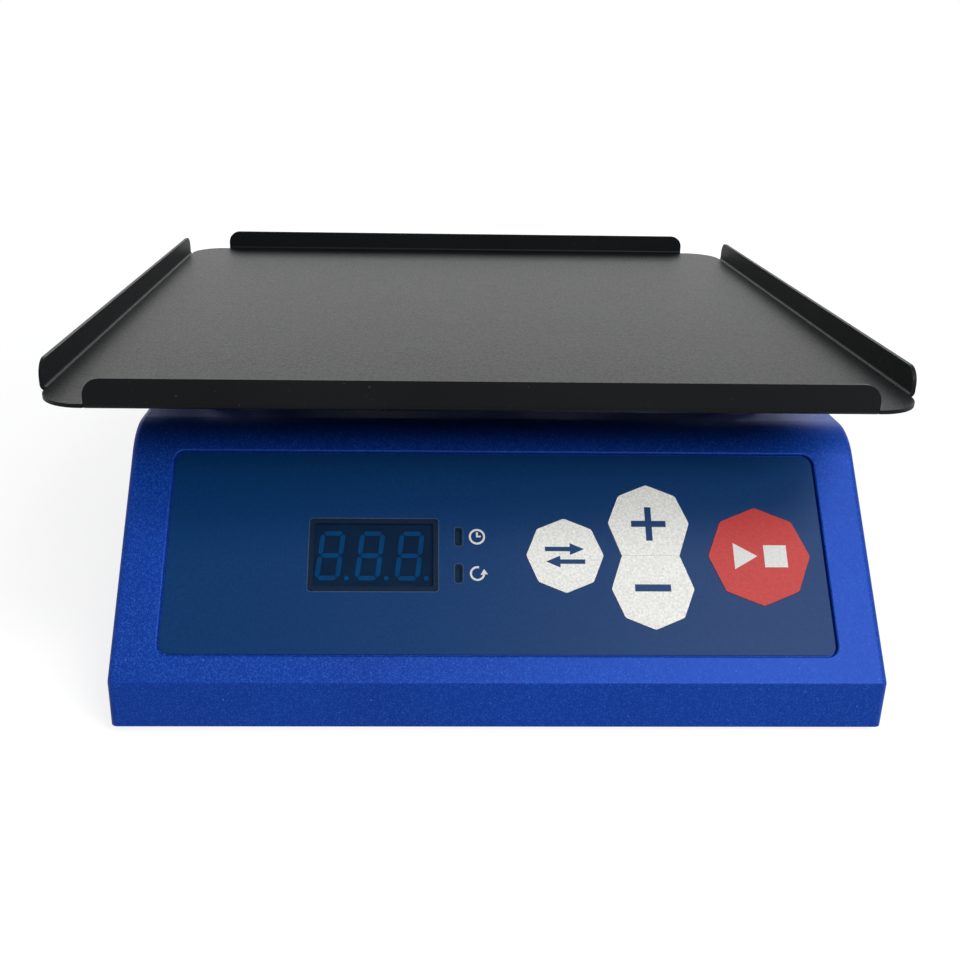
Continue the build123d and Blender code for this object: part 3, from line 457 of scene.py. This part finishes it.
# Pale floor that stays white to the camera, to gloss and to glass except in the object's shadow
FLOOR_SIZE = 12
FLOOR_GREY = 0.30
GLOW_SCALE = 0.7
FAR_GLOW = (0.1, 1.0)
NEAR_GLOW = (0.6, 0.80)
bpy.ops.mesh.primitive_plane_add(size=FLOOR_SIZE, location=(0, 0, 0))
floor = bpy.context.object
floor.name = "floor"
floor_look = Look("floor", (FLOOR_GREY, FLOOR_GREY, FLOOR_GREY), 0.9)
floor_look.put(Specular_IOR_Level=0.0)
spread = floor_look.node("ShaderNodeMapping")
spread.inputs["Scale"].default_value = (GLOW_SCALE, GLOW_SCALE, GLOW_SCALE)
floor_look.link(floor_look.place, spread.inputs["Vector"])
fade = floor_look.node("ShaderNodeTexGradient", gradient_type="SPHERICAL")
floor_look.link(spread.outputs["Vector"], fade.inputs["Vector"])
glow = floor_look.node("ShaderNodeEmission")
floor_look.link(floor_look.ramp(fade.outputs["Fac"], FAR_GLOW, NEAR_GLOW), glow.inputs["Color"])
total = floor_look.node("ShaderNodeAddShader")
choice = floor_look.node("ShaderNodeMixShader")
surface = floor_look.tree.nodes["Material Output"].inputs["Surface"]
floor_look.link(floor_look.shader.outputs["BSDF"], total.inputs[0])
floor_look.link(glow.outputs["Emission"], total.inputs[1])
floor_look.link(shown_rays(floor_look.tree), choice.inputs["Fac"])
floor_look.link(floor_look.shader.outputs["BSDF"], choice.inputs[1])
floor_look.link(total.outputs["Shader"], choice.inputs[2])
floor_look.link(choice.outputs["Shader"], surface)
floor.data.materials.append(floor_look.material)


def lamp(name, place, aim, size, power):
    """A white rectangular lamp at a place, turned to what it aims at."""
    data = bpy.data.lights.new(name, "AREA")
    data.shape = "RECTANGLE"
    data.size, data.size_y = size
    data.energy = power
    thing = bpy.data.objects.new(name, data)
    bpy.context.scene.collection.objects.link(thing)
    thing.location = place
    thing.rotation_euler = (Vector(aim) - Vector(place)).to_track_quat("-Z", "Y").to_euler()


# Sizes and places in metres, powers in watts
lamp("key_light", place=(0.53, -0.74, 1.16), aim=(0.08, -0.10, 0.04), size=(0.5, 0.4), power=5.5)
lamp("front_light", place=(0.50, -1.05, 0.72), aim=(0, -0.10, 0.05), size=(0.9, 0.38), power=12.5)
lamp("back_light", place=(0.0, 1.35, 0.78), aim=(0, 0, 0.1), size=(2.0, 0.7), power=8.5)


def background(tree, colour, strength):
    """One even background in the world's tree."""
    made = tree.nodes.new("ShaderNodeBackground")
    made.inputs["Color"].default_value = (*colour, 1)
    made.inputs["Strength"].default_value = strength
    return made.outputs["Background"]


# Surroundings that look white and light the object softly
LIT_COLOUR = (0.94, 0.97, 1)
LIT_STRENGTH = 0.20
world = bpy.data.worlds.new("studio")
bpy.context.scene.world = world
world.use_nodes = True
tree = world.node_tree
tree.nodes.clear()
blend = tree.nodes.new("ShaderNodeMixShader")
out = tree.nodes.new("ShaderNodeOutputWorld")
tree.links.new(shown_rays(tree), blend.inputs["Fac"])
tree.links.new(background(tree, LIT_COLOUR, LIT_STRENGTH), blend.inputs[1])
tree.links.new(background(tree, (1, 1, 1), 1.0), blend.inputs[2])
tree.links.new(blend.outputs["Shader"], out.inputs["Surface"])

bpy.context.scene.view_settings.view_transform = "Standard"
bpy.context.scene.view_settings.look = "None"
